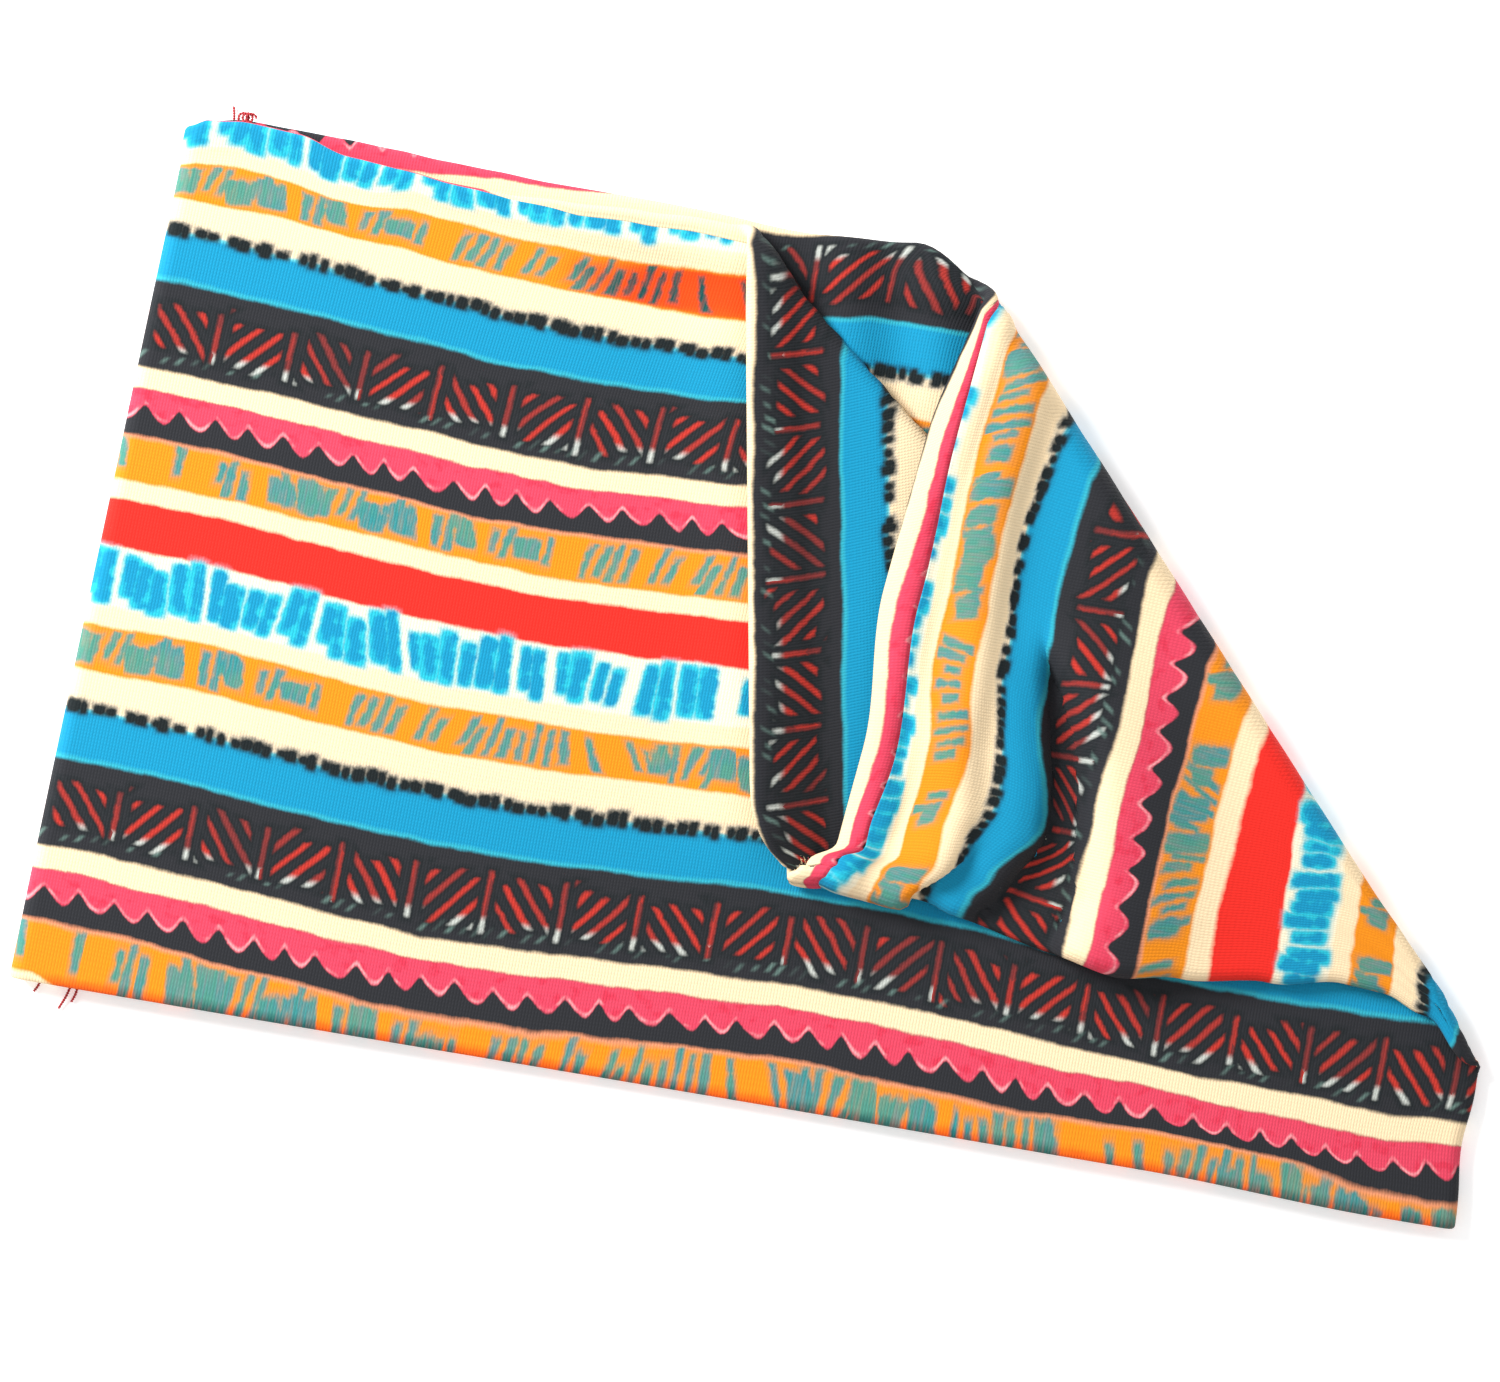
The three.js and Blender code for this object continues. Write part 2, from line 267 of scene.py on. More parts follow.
def pleat(place):
    """The small pleat: the cloth above it is pushed over the cloth below it, and stands higher."""
    depth, width, reach, start_length, step_width = 3.0, 1.7, 8.0, 14.0, 0.8
    upper_rise, upper_reach, lower_drop, lower_reach = 1.6, 12.0, 3.0, 10.0
    along = (CREASE_END - CREASE_START) / np.linalg.norm(CREASE_END - CREASE_START)
    across_it = np.array([-along[1], along[0]])
    from_start = place - CREASE_START
    strength = smooth((from_start @ along) / start_length)
    distance = from_start @ across_it
    away = np.abs(distance)
    push = -depth * strength * np.tanh(distance / width) * np.exp(-away / reach)
    below = (1 + np.tanh(distance / (2 * step_width))) / 2
    upper = upper_rise * (1 - below) * np.exp(-away / upper_reach)
    lower = lower_drop * below * np.exp(-away / lower_reach)
    return push[..., None] * across_it, (upper - lower) * strength


# How far the rims rise and fall about their height over the hem, and how the upper left corner is rounded.
RIM_PLACES = [0, 3, 11, 21, 32, 43, 53, 64, 76, 92, 104, 117, 131, 146, 156, 160, 166]
FRONT_RIM_RISE = [-1.0, 0.8, 2.0, 1.8, -0.6, -1.0, -1.7, -1.6, -0.6, 0.8, 1.8, 1.7, 0, 0, 0, 0, 0]
BACK_RIM_RISE = [-1.0, 0.8, 2.0, 1.8, 1.6, 1.2, 0.6, 0.3, -0.2, -0.2, -0.2, 0, 0, 0, 0.9, 0.8, 0]


def upwards(amount):
    """A move in Y alone."""
    return np.stack([0 * amount, amount], axis=-1)


def with_rim_rise(place, across, up, rises):
    return place + upwards(eased_line(across, RIM_PLACES, rises) * rise_after(up, 158, 22))


def back_wall(across, up):
    flat = flat_point(across, up)
    place, over, beyond = fold_over(flat, BACK_FOLD_ANGLE, BACK_FOLD_RADIUS)
    drift = net(FLAP_ROWS, FLAP_COLUMNS, FLAP_DRIFT, up, turned_part(across, up))
    pulled = 0.31 * rise_after(up, 157, 15) + 0.69 * rise_after(up, 172, 8)
    fade = np.stack([1 - smooth(-beyond / 20), 1 - smooth(-beyond / 9.5)], axis=-1)
    pull = pulled[..., None] * CORNER_PULL * fade
    place = place + np.where((beyond > 0)[..., None], drift, pull)
    sag = 1.5 * mound(place[..., 0] - 134, 17) * rise_after(up, 150, 30) * (beyond <= 0)
    place = with_rim_rise(place - upwards(sag), across, up, BACK_RIM_RISE)
    shift, rise = pleat(place)
    place = place + shift * over[..., None]
    x, y = place[..., 0], place[..., 1]
    height = blend(back_height(x, y), flap_height(x, y, rise), over)
    return np.stack([x, y, height], axis=-1)


FRONT_PULL = np.array([5.5, -4.5])  # the front wall's rim is pulled along, and its turned part swings in
FRONT_RIM_SWING = np.array([-4.2, -0.8])
FREE_SHARE = 0.655  # of the turned part, before it starts to follow the back wall's side
DRAWN_IN = np.array([4.508, 0.782])  # a short stretch of the rim, near the turned part's end


def front_wall(across, up):
    flat = flat_point(across, up)
    place, over, beyond = fold_over(flat, FRONT_FOLD_ANGLE, FRONT_FOLD_RADIUS)
    near_rim = rise_after(up, 125, 55)[..., None]
    along_rim = np.clip(flat[..., 0] / 117, 0, 1)[..., None]
    swing = np.clip(beyond / 70, 0, 1)[..., None]
    place = place + near_rim * (FRONT_PULL * along_rim + FRONT_RIM_SWING * swing)
    side = np.full_like(across, WIDTH)
    side_place, _, _ = fold_over(flat_point(side, up), FRONT_FOLD_ANGLE, FRONT_FOLD_RADIUS)
    goal = back_wall(side, up)[..., :2]
    above = np.clip(up - PIVOT[1], 0, None)
    fold_x = PIVOT[0] + above / math.tan(FRONT_FOLD_ANGLE)
    start = fold_x + FREE_SHARE * (WIDTH - fold_x) * smooth(above / 110)
    part = smooth((across - start) / np.maximum(WIDTH - start, 1.0))
    part = np.where(above > 0, part, 0)[..., None]
    place = place + part * (goal - side_place)
    in_stretch = rise_after(across, 231, 20) * (1 - rise_after(across, 262, 36))
    place = place + (rise_after(up, 164, 16) * in_stretch)[..., None] * DRAWN_IN
    place = with_rim_rise(place, across, up, FRONT_RIM_RISE)
    x, y = place[..., 0], place[..., 1]
    height = blend(front_height(x, y), turned_height(x, y), over)
    return np.stack([x, y, height], axis=-1)


def eased(across, radius):
    """Across a wall, with its end rounded as a side fold seen from above, and how open the fold is there."""
    quarter = radius * math.pi / 2
    turn = np.clip(across / quarter, 0, 1) * math.pi / 2
    near = radius * (1 - np.cos(turn))
    far = radius + (across - quarter) * (WIDTH / 2 - radius) / (WIDTH / 2 - quarter)
    return np.where(across < quarter, near, far), np.sin(turn)


def middle(column, up):
    """The middle surface of the cloth, for places round the tube and up from the hem."""
    column, up = np.broadcast_arrays(np.mod(column, GIRTH).astype(float), np.asarray(up, float))
    is_front = column <= WIDTH
    across = np.where(is_front, column, GIRTH - column)
    left, left_open = eased(across, SIDE_RADIUS)
    right, right_open = eased(WIDTH - across, SIDE_RADIUS)
    seen = np.where(across < WIDTH / 2, left, WIDTH - right)
    front = front_wall(seen, up)
    back = back_wall(seen, up)
    half = (front - back) / 2
    half[..., 2] *= left_open * right_open
    half[..., :2] *= smooth(np.minimum(across, WIDTH - across) / SIDE_CLOSING)[..., None]
    return (front + back) / 2 + np.where(is_front, 1, -1)[..., None] * half


def cloth_point(column, up, lift):
    """A point `lift` to the shell side of the middle surface."""
    step, smallest = 0.3, 1e-9
    along = middle(column + step, up) - middle(column - step, up)
    upward = middle(column, up + step) - middle(column, up - step)
    normal = np.cross(along, upward)
    normal /= np.maximum(np.linalg.norm(normal, axis=-1, keepdims=True), smallest)
    return middle(column, up) + normal * np.asarray(lift)[..., None]


# ---- Sections from hem to rim

# How far the lining comes over the rim and down the outside, to the seam: places round the tube, and how
# far. Then the print's level on the lining at that seam.
FRONT_WRAP = ([50, 60, 70, 80, 117, 230], [0.2, 0.5, 1.4, 2.6, 3.5, 7.5])
BACK_WRAP = ([450, 490, 560, 575], [7.5, 5.5, 0.6, 0.2])
FRONT_SEAM_LEVEL = ([57, 68, 117, 124, 230], [20.8, 22.9, 22.9, 21.2, 18.6])
BACK_SEAM_LEVEL = ([360, 392, 432, 452, 476, 490, 560, 575], [18.2, 19.3, 20.6, 20.6, 19.0, 18.2, 17.4, 15.3])


def round_the_tube(column, front, back):
    """A value that is given along the front wall and along the back wall."""
    column = np.mod(column, GIRTH)
    return np.where(column <= WIDTH, np.interp(column, *front), np.interp(column, *back))


def wrap(column):
    return round_the_tube(column, FRONT_WRAP, BACK_WRAP)


def seam_level(column):
    return round_the_tube(column, FRONT_SEAM_LEVEL, BACK_SEAM_LEVEL)


def half_thickness(up, column):
    """Half the wall's thickness, before its ends are rounded. The thick rim is flattened at the right."""
    flattened = 1 - 0.9 * mound(np.mod(column, GIRTH) - WIDTH, 9)
    in_rim = rise_after(up, HEIGHT - wrap(column) - 7, 4)
    return HALF_WALL + (HALF_RIM - HALF_WALL) * in_rim * flattened


def rounded(distance, radius):
    """How much of the thickness is left at this distance from a rounded edge."""
    inside = np.clip(1 - distance / radius, 0, 1)
    return np.sqrt(np.clip(1 - inside**2, 0, 1))


def ply_lift(column, up, inset):
    """How far a ply's face lies from the wall's middle, with the hem and the rim rounded, and the cloth
    pinched where both corner folds start."""
    from_pivot = np.hypot(np.mod(column, GIRTH) - WIDTH, up - PIVOT[1])
    pinched = 1 - 0.7 * mound(from_pivot, 7)
    thick = (half_thickness(up, column) - inset) * pinched
    at_hem = rounded(up - inset, HALF_WALL - inset)
    at_rim = rounded(HEIGHT - inset - up, HALF_RIM - inset)
    return thick * np.minimum(at_hem, at_rim)


def seam_dip(column, up, width):
    """How far a ply dips into the rim seam, where the seam shows on the outside."""
    depth, least_wrap = 0.4, 1.0
    from_seam = np.abs(HEIGHT - wrap(column) - up)
    return depth * (1 - smooth(from_seam / width)) * (wrap(column) > least_wrap)


def graded(low, high, step):
    return list(np.linspace(low, high, max(2, round((high - low) / step) + 1)))


def round_stations(radius):
    """Distances from a rounded edge, even round its quarter turn."""
    turns = np.linspace(0, math.pi / 2, ROUND_STEPS + 1)
    return list(radius * (1 - np.cos(turns)))


def column_stations(low, high):
    """Places round the tube, closer together at the side folds."""
    folds = (0, WIDTH)
    marks = {low, high, *folds, *(fold + side * EDGE_ZONE for fold in folds for side in (-1, 1))}
    marks = [mark for mark in sorted(marks) if low <= mark <= high]
    places = []
    for a, b in zip(marks, marks[1:]):
        near_fold = min(abs((a + b) / 2 - fold) for fold in folds) < EDGE_ZONE
        places += graded(a, b, EDGE_GRID if near_fold else GRID)[:-1]
    return np.array(places + [high])


def shell_stations(inset):
    """Places from hem to rim for the shell, with the hem's rounding in full."""
    hem = [inset + distance for distance in round_stations(HALF_WALL - inset)]
    near_rim = HEIGHT - 2 * HALF_RIM
    return hem + graded(HALF_WALL, near_rim, GRID)[1:] + graded(near_rim, HEIGHT, RIM_GRID)[1:]


# ---- Meshes


def add_piece(name, points, faces, material):
    """A smooth mesh of these points, in metres, that rides on the one body."""
    mesh = bpy.data.meshes.new(name)
    mesh.from_pydata(points, [], faces)
    mesh.polygons.foreach_set("use_smooth", np.ones(len(mesh.polygons), bool))
    mesh.materials.append(material)
    piece = bpy.data.objects.new(name, mesh)
    bpy.context.scene.collection.objects.link(piece)
    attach(piece, "root")
    return piece


def grid_faces(rows, columns, first, flipped):
    """The faces of a grid of points, numbered row by row from `first`."""
    row, column = np.meshgrid(np.arange(rows - 1), np.arange(columns - 1), indexing="ij")
    a = first + row * columns + column
    faces = np.stack([a, a + 1, a + columns + 1, a + columns], axis=-1).reshape(-1, 4)
    return faces[:, ::-1] if flipped else faces


def closed_ply(name, outer, inner, cloth, from_hem, material):
    """A thin closed solid between two grids of points. Its UV maps are the cloth's own coordinates for the
    print, and the distance from the hem."""
    rows, columns, _ = outer.shape
    count = rows * columns
    points = np.concatenate([outer.reshape(-1, 3), inner.reshape(-1, 3)])
    index = np.arange(count).reshape(rows, columns)
    rim = np.concatenate([index[0, :-1], index[:-1, -1], index[-1, :0:-1], index[:0:-1, 0]])
    ahead = np.roll(rim, -1)
    sides = np.stack([rim, rim + count, ahead + count, ahead], axis=-1)
    faces = [grid_faces(rows, columns, 0, False), grid_faces(rows, columns, count, True), sides]
    piece = add_piece(name, ((points + ORIGIN) * MM).tolist(), np.concatenate(faces).tolist(), material)
    mesh = piece.data
    corners = np.zeros(len(mesh.loops), np.int32)
    mesh.loops.foreach_get("vertex_index", corners)
    hem_map = np.stack([from_hem, 0 * from_hem], axis=-1)
    for map_name, values in (("cloth", cloth), ("from_hem", hem_map)):
        both = np.concatenate([values.reshape(-1, 2), values.reshape(-1, 2)])
        uv = mesh.uv_layers.new(name=map_name)
        uv.data.foreach_set("uv", both[corners].astype(np.float32).ravel())
    mesh.update()
    return piece


# How far the print on the folded corner runs ahead of the height over the hem: places from the hem to the
# rim seam, places from the fold to the side of the tube, and how far.
LEAD = (
    [0, 85, 110, 126, 142, 157, 173],
    [0, 0.5, 1],
    [[4, 4, 4], [5.3, 5, 5], [3.5, 3.5, 4], [1, 3, 4.5], [3.2, 4, 4.5], [7, 6, 6], [5.5, 7, 11]],
)
# The same on the front wall near its hem, on the right, with places round the tube.
HEM_LEAD = (
    [7.5, 11, 18, 26, 42],
    [195, 240, 262, 280, 300],
    [
        [0, -3.6, -3.6, -0.6, 0],
        [0, -1, -1, 0.7, 0.7],
        [0, -1.2, -0.4, 0.9, 0.9],
        [0, -0.4, 0.2, 1.2, 1.2],
        [0, 0, 0, 0, 0],
    ],
)


def lead_from(table, up, across):
    rows, columns, values = table
    return net(rows, columns, np.array(values)[..., None], up, across)[..., 0]


def print_lead(column, up):
    """How far the print's bands run ahead of the height over the hem."""
    slope, wave, wave_start, wave_length = 0.016, 1.8, 5, 162
    front = slope * column - wave * np.cos(2 * math.pi * (column - wave_start) / wave_length)
    front = front + 1.8 * rise_after(up, 157, 10) * (1 - rise_after(column, 25, 30))
    front = front + 2.5 * rise_after(up, 166, 8) * (1 - rise_after(column, 38, 10))
    side_lead, least_lead = lead_from(LEAD, up, np.ones_like(up)), 4
    front = front + (side_lead - least_lead) * rise_after(column, 255, 45)
    front = front + lead_from(HEM_LEAD, up, column)
    back = lead_from(LEAD, up, turned_part(GIRTH - column, up))
    rolled_hem = 2.2 * np.clip(1 - up / 8, 0, 1) * rise_after(column, 4, 8)
    near_hem = 3 * np.clip(1 - up / 40, 0, 1) ** 2 + rolled_hem
    return np.where(column <= WIDTH, front, back) + near_hem


def shell_piece(name, low, high, material):
    columns = column_stations(low, high)
    dip_width = 3.2

    def grid(inset):
        column, up = np.meshgrid(columns, shell_stations(inset))
        share = (up - HALF_WALL) / (HEIGHT - HALF_WALL)
        seam = HEIGHT - wrap(column)
        up = np.where(share > 0, HALF_WALL + share * (seam - HALF_WALL), up)
        lift = ply_lift(column, up, inset) - seam_dip(column, up, dip_width)
        return column, up, cloth_point(column, up, lift)

    column, up, outer = grid(0.0)
    _, _, inner = grid(PLY)
    cloth = np.stack([column, up + print_lead(column, up)], axis=-1)
    return closed_ply(name, outer, inner, cloth, up, material)


def lining_piece(name, low, high, material):
    columns = column_stations(low, high)
    dip_width, least_roll, roll_share = 1.6, 0.15, 0.8

    def grid(inset):
        hem = [inset + distance for distance in round_stations(HALF_WALL - inset)]
        body = graded(HALF_WALL, HEIGHT - HALF_RIM, GRID)[1:-1]
        round_rim = np.array(round_stations(HALF_RIM - inset))
        up_in = np.concatenate([hem, body, (HEIGHT - inset - round_rim)[::-1]])[:, None] + 0 * columns
        reach = np.maximum(wrap(columns), inset + least_roll)
        rolled = np.minimum(HALF_RIM, inset + (reach - inset) * roll_share)
        up_over = HEIGHT - inset - round_rim[1:, None] * (rolled - inset) / (HALF_RIM - inset)
        down = np.linspace(0, 1, ROLL_STEPS + 1)[1:, None]
        up_down = HEIGHT - rolled - down * (reach - rolled)
        up = np.concatenate([up_in, up_over, up_down])
        column = np.broadcast_to(columns, up.shape)
        outside = np.concatenate([0 * up_in, 0 * up_over + 1, 0 * up_down + 1])
        dip = outside * seam_dip(column, up, dip_width)
        lift = (2 * outside - 1) * ply_lift(column, up, inset) - dip
        run = np.where(outside > 0, 2 * HEIGHT - up, up)
        return column, run, cloth_point(column, up, lift)

    column, run, outer = grid(0.0)
    _, _, inner = grid(PLY)
    level = seam_level(column) + HEIGHT + wrap(column)  # at the hem, where it has to meet the shell's print
    join = (2 * REPEAT + print_lead(column, 0 * run) - level) * (1 - smooth(run / 60))
    cloth = np.stack([column, level - run + join], axis=-1)
    return closed_ply(name, inner, outer, cloth, run, material)


# ---- Camera, floor and light

CAMERA_PLACE = (-0.0105, -0.0063, 0.86)
CAMERA_TURN = math.radians(9.63)
LENS = 100
PURE_WHITE = (1, 1, 1, 1)


def set_inputs(node, values):
    for name, value in values.items():
        node.inputs[name].default_value = value


def add_camera():
    camera = bpy.data.objects.new("camera", bpy.data.cameras.new("camera"))
    bpy.context.scene.collection.objects.link(camera)
    camera.data.lens = LENS
    camera.location = CAMERA_PLACE
    camera.rotation_euler = (0, 0, CAMERA_TURN)
    bpy.context.scene.camera = camera


def add_floor():
    """A white surface that glows a little."""
    size, under_the_cloth = 40, -0.0002
    bpy.ops.mesh.primitive_plane_add(size=size, location=(0, 0, under_the_cloth))
    floor = bpy.context.object
    floor.name = "floor"
    material = bpy.data.materials.new("floor")
    material.use_nodes = True
    glow = {"Emission Color": PURE_WHITE, "Emission Strength": 0.3}
    looks = {"Base Color": PURE_WHITE, "Roughness": 0.9, **glow}
    set_inputs(material.node_tree.nodes["Principled BSDF"], looks)
    floor.data.materials.append(material)


def add_key_light():
    """A soft light from the upper left, aimed at the middle of the gaiter."""
    place, size, power = Vector((-0.85, 0.45, 0.7)), 0.5, 21
    light = bpy.data.lights.new("key", "AREA")
    light.shape = "DISK"
    light.size = size
    light.energy = power
    lamp = bpy.data.objects.new("key", light)
    bpy.context.scene.collection.objects.link(lamp)
    lamp.location = place
    lamp.rotation_euler = (-place).to_track_quat("-Z", "Y").to_euler()


def add_world():
    world = bpy.data.worlds.new("studio")
    bpy.context.scene.world = world
    world.use_nodes = True
    set_inputs(world.node_tree.nodes["Background"], {"Color": PURE_WHITE, "Strength": 0.7})


add_camera()
add_floor()
add_world()
add_key_light()

bpy.context.scene.view_settings.view_transform = "Standard"

# ---- The print, worked out from the cloth's own coordinates: round the tube, and up from the hem

REPEAT = 100.0  # the print repeats after this length of cloth

CREAM = (244, 218, 177)
WHITE = (240, 229, 201)
ORANGE = (235, 139, 24)
# orange as painted in shade
SHADED_ORANGE = (232, 70, 16)
HALO_TAN = (190, 128, 84)
SALMON = (228, 146, 106)
TEAL = (44, 136, 141)
GREY_TEAL = (78, 142, 126)
# teal marks as painted in shade
SHADED_TEAL = (22, 74, 74)
BLACK = (42, 43, 47)
GREEN_BLACK = (25, 32, 34)
PINK = (219, 68, 93)
DEEP_PINK = (213, 54, 79)
LIGHT_PINK = (238, 164, 168)
BLUE = (19, 142, 183)
BRIGHT_BLUE = (38, 182, 203)
SHADOW_BLUE = (21, 96, 127)
CYAN = (88, 188, 200)
EDGE_CYAN = (47, 166, 187)
RED = (232, 44, 35)
STROKE_RED = (188, 52, 42)
DIM_RED = (121, 48, 47)
TIP_WHITE = (188, 192, 185)
FLECK = (96, 121, 114)
THREAD_RED = (205, 44, 52)
DEEP_THREAD_RED = (150, 16, 26)

# The plain bands: where each starts in the repeat, and its colour.
BANDS = [
    (0.0, CREAM),
    (3.0, ORANGE),
    (11.8, SALMON),
    (12.5, BLACK),
    (22.0, CREAM),
    (26.5, BLACK),
    (44.6, EDGE_CYAN),
    (45.5, BLUE),
    (54.6, CYAN),
    (55.2, CREAM),
    (63.5, ORANGE),
    (73.0, CREAM),
    (77.2, WHITE),
    (89.2, RED),
    (99.0, CREAM),
]
BLEED = 0.7  # width over which one band's colour runs into the next
ORANGE_MIDDLES = (7.75, 68.25)
PINK_TOP = 22.0
FANS_MIDDLE = 35.4


class Strokes(NamedTuple):
    """A row of brush strokes: the levels it runs between, and how its strokes vary."""

    low: float
    high: float
    pitch: float
    width: float
    keep: tuple  # the share of strokes kept, how much that varies, and over what length
    seed: float
    jitter: float
    round_end: float = 0.8


THIN_MARKS = Strokes(4.6, 11.0, 2.9, 1.7, keep=(0.7, 2.2, 16.0), seed=11.5, jitter=1.4)
WIDE_MARKS = Strokes(4.6, 10.8, 6.4, 5.0, keep=(0.38, 1.8, 21.0), seed=17.5, jitter=1.5, round_end=2.0)
FLECKS = Strokes(28.3, 29.7, 2.6, 0.75, keep=(0.6, 0.0, 9.0), seed=23.5, jitter=0.6)
DASHES = Strokes(53.9, 56.7, 4.8, 2.5, keep=(0.9, 0.5, 25.0), seed=31.5, jitter=0.5, round_end=1.4)
BRUSH_MARKS = Strokes(78.0, 87.9, 7.6, 3.7, keep=(0.9, 1.0, 20.0), seed=47.5, jitter=1.7, round_end=2.2)


def linear(colour):
    """A colour given as screen values from 0 to 255, as Blender wants it."""
    shares = [c / 255 for c in colour]
    return tuple(c / 12.92 if c <= 0.04045 else ((c + 0.055) / 1.055) ** 2.4 for c in shares) + (1.0,)


def node_sum(operation):
    return lambda value, *others: value.tree.math(operation, value, *others)


class Value:
    """A number or a colour that a material's nodes work out. Sums with it add the nodes that they need."""

    __add__ = __radd__ = node_sum("ADD")
    __mul__ = __rmul__ = node_sum("MULTIPLY")
    __sub__ = node_sum("SUBTRACT")
    __gt__ = node_sum("GREATER_THAN")
    __lt__ = node_sum("LESS_THAN")
    __abs__ = node_sum("ABSOLUTE")

    def __init__(self, tree, socket):
        self.tree = tree
        self.socket = socket

    def __rsub__(self, other):
        return self.tree.math("SUBTRACT", other, self)


class Tree:
    """Short calls for building a material's nodes. Arguments are values, plain numbers or colours."""

    def __init__(self, name):
        self.material = bpy.data.materials.new(name)
        self.material.use_nodes = True
        self.nodes = self.material.node_tree.nodes
        self.shader = self.nodes["Principled BSDF"]

    def feed(self, node, inputs):
        """Gives a node's inputs, by name or number, a value, a number or a colour."""
        for name, value in inputs.items():
            if isinstance(value, Value):
                self.material.node_tree.links.new(value.socket, node.inputs[name])
            else:
                node.inputs[name].default_value = linear(value) if isinstance(value, tuple) else value

    def node(self, kind, inputs, **settings):
        node = self.nodes.new("ShaderNode" + kind)
        for name, value in settings.items():
            setattr(node, name, value)
        self.feed(node, inputs)
        return node

    def output(self, kind, inputs, output=0, **settings):
        """One output of a new node."""
        return Value(self, self.node(kind, inputs, **settings).outputs[output])

    def map_place(self, name):
        uv = self.output("UVMap", {}, uv_map=name)
        split = self.node("SeparateXYZ", {0: uv})
        return Value(self, split.outputs["X"]), Value(self, split.outputs["Y"])

    def math(self, operation, *values):
        return self.output("Math", dict(enumerate(values)), operation=operation)

    def fraction(self, value):
        return self.math("FRACT", value)

    def larger(self, a, b, rounding):
        return self.math("SMOOTH_MAX", a, b, rounding)

    def step(self, value, low, high):
        """0 at `low`, 1 at `high`, and an even ramp between."""
        inputs = {"Value": value, "From Min": low, "From Max": high}
        return self.output("MapRange", inputs, "Result", interpolation_type="SMOOTHSTEP")

    def inside(self, distance, soft):
        """1 where a distance is below zero and 0 where it is above, over a soft edge."""
        return 1.0 - self.step(distance, -soft, soft)

    def mix(self, share, a, b, blend_type="MIX"):
        node = self.node("Mix", {}, data_type="RGBA", blend_type=blend_type)
        enabled = [number for number, socket in enumerate(node.inputs) if socket.enabled]
        self.feed(node, dict(zip(enabled, (share, a, b))))
        return Value(self, next(socket for socket in node.outputs if socket.enabled))

    def random(self, cell, seed):
        """Three even random numbers for each whole number."""
        noise = self.output("TexWhiteNoise", {"W": cell + seed}, "Color", noise_dimensions="1D")
        return [Value(self, socket) for socket in self.node("SeparateColor", {0: noise}).outputs]

    def noise(self, x, y, size_x, size_y, detail=2.0):
        """Smooth noise round zero, with lumps of these sizes."""
        place = self.output("CombineXYZ", {"X": x * (1 / size_x), "Y": y * (1 / size_y)})
        inputs = {"Scale": 1.0, "Detail": detail, "Vector": place}
        return self.output("TexNoise", inputs, noise_dimensions="2D") - 0.5

    def set_bump(self, height, strength, distance):
        inputs = {"Strength": strength, "Distance": distance, "Height": height}
        self.feed(self.shader, {"Normal": self.output("Bump", inputs)})


def share_between(value, low, high):
    """0 at `low` and 1 at `high`, in a straight line."""
    return (value - low) * (1 / (high - low))


class Place:
    """Where a point is on the cloth, and the noises that every part of the print shares."""

    def __init__(self, tree):
        self.across, self.run = tree.map_place("cloth")
        self.from_hem, _ = tree.map_place("from_hem")
        self.broad = tree.noise(self.across, self.run, 17.0, 11.0)
        self.small = tree.noise(self.across, self.run, 3.2, 2.4)
        self.fine = tree.noise(self.across, self.run, 0.8, 0.8, detail=3.0)
        wobble = self.broad * 1.7 + self.small * 0.4 + self.fine * 0.25
        self.level = tree.math("FLOORED_MODULO", self.run + wobble, REPEAT)


def half_ramp(tree, level, low, high):
    """The bands between two levels of the repeat as a colour ramp, each running softly into the next."""
    node = tree.node("ValToRGB", {0: share_between(level, low, high)})
    elements = node.color_ramp.elements
    stops = []
    colour = next(c for start, c in reversed(BANDS) if start <= low)
    for start, following in BANDS:
        if low < start < high:
            stops += [(start - BLEED / 2, colour), (start + BLEED / 2, following)]
            colour = following
    elements.remove(elements[1])
    for number, (stop, stop_colour) in enumerate(stops):
        position = share_between(stop, low, high)
        element = elements[0] if number == 0 else elements.new(position)
        element.position = position
        element.color = linear(stop_colour)
    return Value(tree, node.outputs[0])


def plain_bands(tree, place):
    half = REPEAT / 2
    lower = half_ramp(tree, place.level, 0.0, half)
    upper = half_ramp(tree, place.level, half, REPEAT)
    return tree.mix(place.level > half, lower, upper)


def stroke_row(tree, across, level, row, lean=0.0):
    """The distance to the nearest stroke of a row, and a random number of that stroke's own."""
    least_width, width_range, shift, far_away, other_seed = 0.75, 0.5, 0.3, 9.0, 40.5
    slanted = across + (level - (row.low + row.high) / 2) * lean
    place = slanted * (1 / row.pitch)
    cell = tree.math("FLOOR", place)
    first, second, third = tree.random(cell, row.seed)[:3]
    local = (tree.fraction(place) - 0.5) * row.pitch - (first - 0.5) * (shift * row.pitch)
    sideways = abs(local) - (second * width_range + least_width) * (row.width / 2)
    top = row.high + (third - 0.5) * (2 * row.jitter)
    bottom = row.low + (first - 0.5) * (2 * row.jitter)
    lengthways = tree.math("MAXIMUM", level - top, bottom - level)
    distance = tree.larger(sideways, lengthways, row.round_end)
    share, variation, length = row.keep
    kept = tree.noise(cell, row.seed, length / row.pitch, 9.0) * variation + share
    dropped = tree.random(cell, row.seed + other_seed)[0] > kept
    return distance + dropped * far_away, second


def double_row(tree, across, level, row, lean=0.0):
    """Two rows of strokes with the second between the first, so that some of them run together."""
    merging, next_seed = 0.6, row.seed + 5.0
    first, own = stroke_row(tree, across, level, row, lean)
    second, _ = stroke_row(tree, across + row.pitch / 2, level, row._replace(seed=next_seed), lean)
    return tree.math("SMOOTH_MIN", first, second, merging), own


